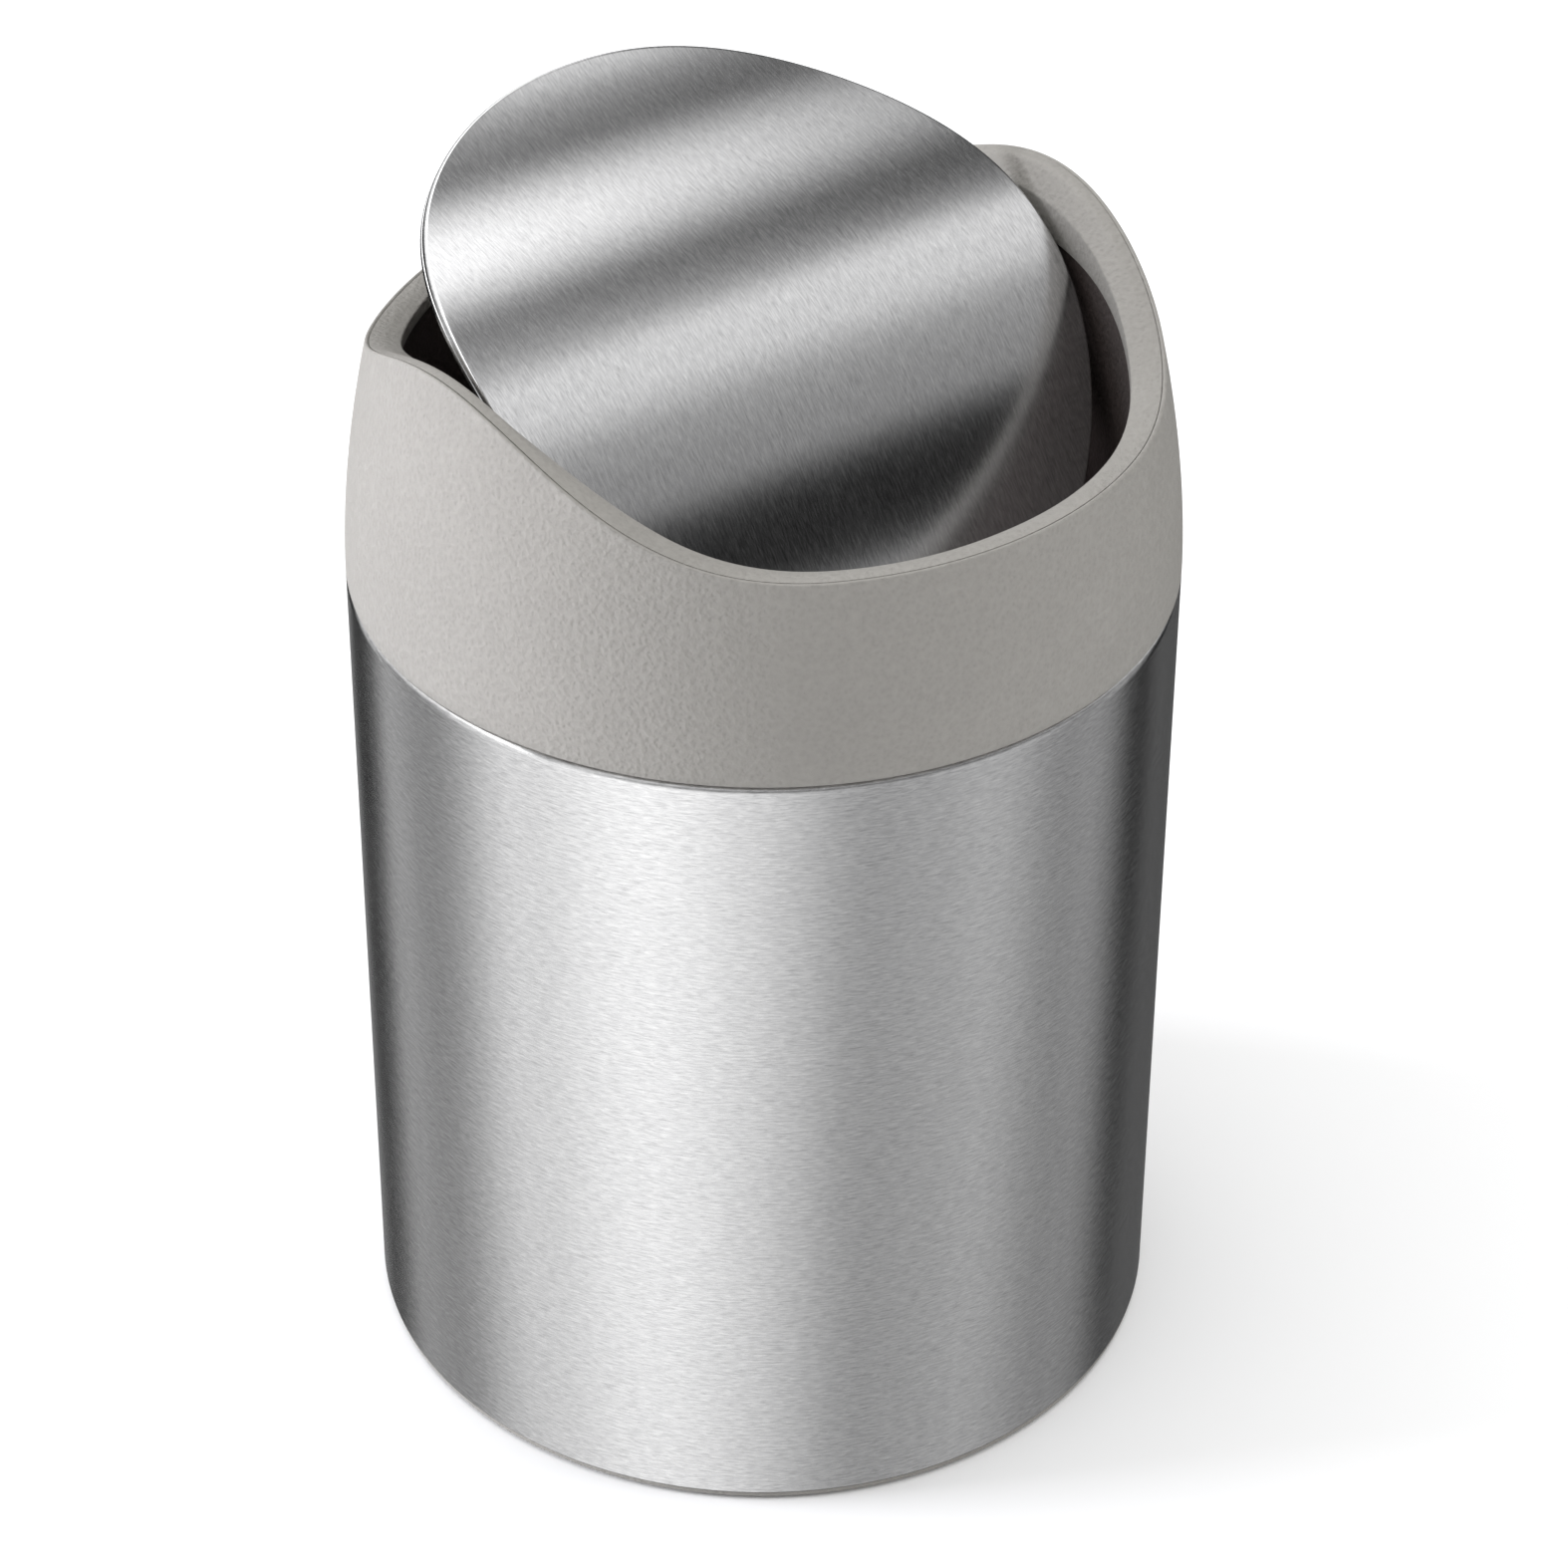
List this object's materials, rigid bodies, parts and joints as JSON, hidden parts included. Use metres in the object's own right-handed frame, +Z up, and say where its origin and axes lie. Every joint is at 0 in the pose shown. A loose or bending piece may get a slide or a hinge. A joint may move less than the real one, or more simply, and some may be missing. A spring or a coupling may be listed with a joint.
{
  "type": "wastebasket",
  "caption": "Small countertop wastebasket: a round brushed steel can with a lift-out bucket and a moulded collar that carries a counterweighted swing lid.",
  "frame": {"origin": "centre of the base, on the surface that the can stands on", "axes": "+Z up along the can; X along the lid's pivot axis; -Y towards the end of the lid that is pushed down"},
  "size_m": [0.125, 0.125, 0.1969],
  "materials": {
    "brushed_steel": "brushed",
    "grey_plastic": "fine grain",
    "brown_plastic": "fine grain",
    "black_rubber": "matte",
    "plain_steel": "zinc plated"
  },
  "bodies": {
    "can": {"body_shell": "brushed_steel", "base_pan": "grey_plastic", "foot_ring": "black_rubber"},
    "bucket": {"inner_bucket": "brown_plastic"},
    "lid_ring": {"collar_shell": "grey_plastic", "rim_bezel": "grey_plastic", "pivot_ring": "brown_plastic", "pivot_bush_left": "brown_plastic", "pivot_bush_right": "brown_plastic", "collar_screw_1": "plain_steel", "collar_screw_2": "plain_steel", "collar_screw_3": "plain_steel", "collar_screw_4": "plain_steel"},
    "swing_lid": {"lid_skin": "brushed_steel", "lid_backing": "grey_plastic", "pivot_pin_left": "plain_steel", "pivot_pin_right": "plain_steel", "counterweight": "plain_steel", "weight_cover": "grey_plastic", "weight_screw_left": "plain_steel", "weight_screw_right": "plain_steel"}
  },
  "joints": [
    {"name": "collar_lift", "type": "slide", "parent": "can", "child": "lid_ring", "axis": [0, 0, 1], "range_m": [0, 0.3]},
    {"name": "bucket_lift", "type": "slide", "parent": "can", "child": "bucket", "axis": [0, 0, 1], "range_m": [0, 0.15]},
    {"name": "lid_swing", "type": "hinge", "parent": "lid_ring", "child": "swing_lid", "pos_m": [0, 0, 0.171], "axis": [1, 0, 0], "range_deg": [-113.5, 46.5]}
  ],
  "couplings": [
    {"joint": "bucket_lift", "follows": "collar_lift", "ratio": 0.5}
  ]
}
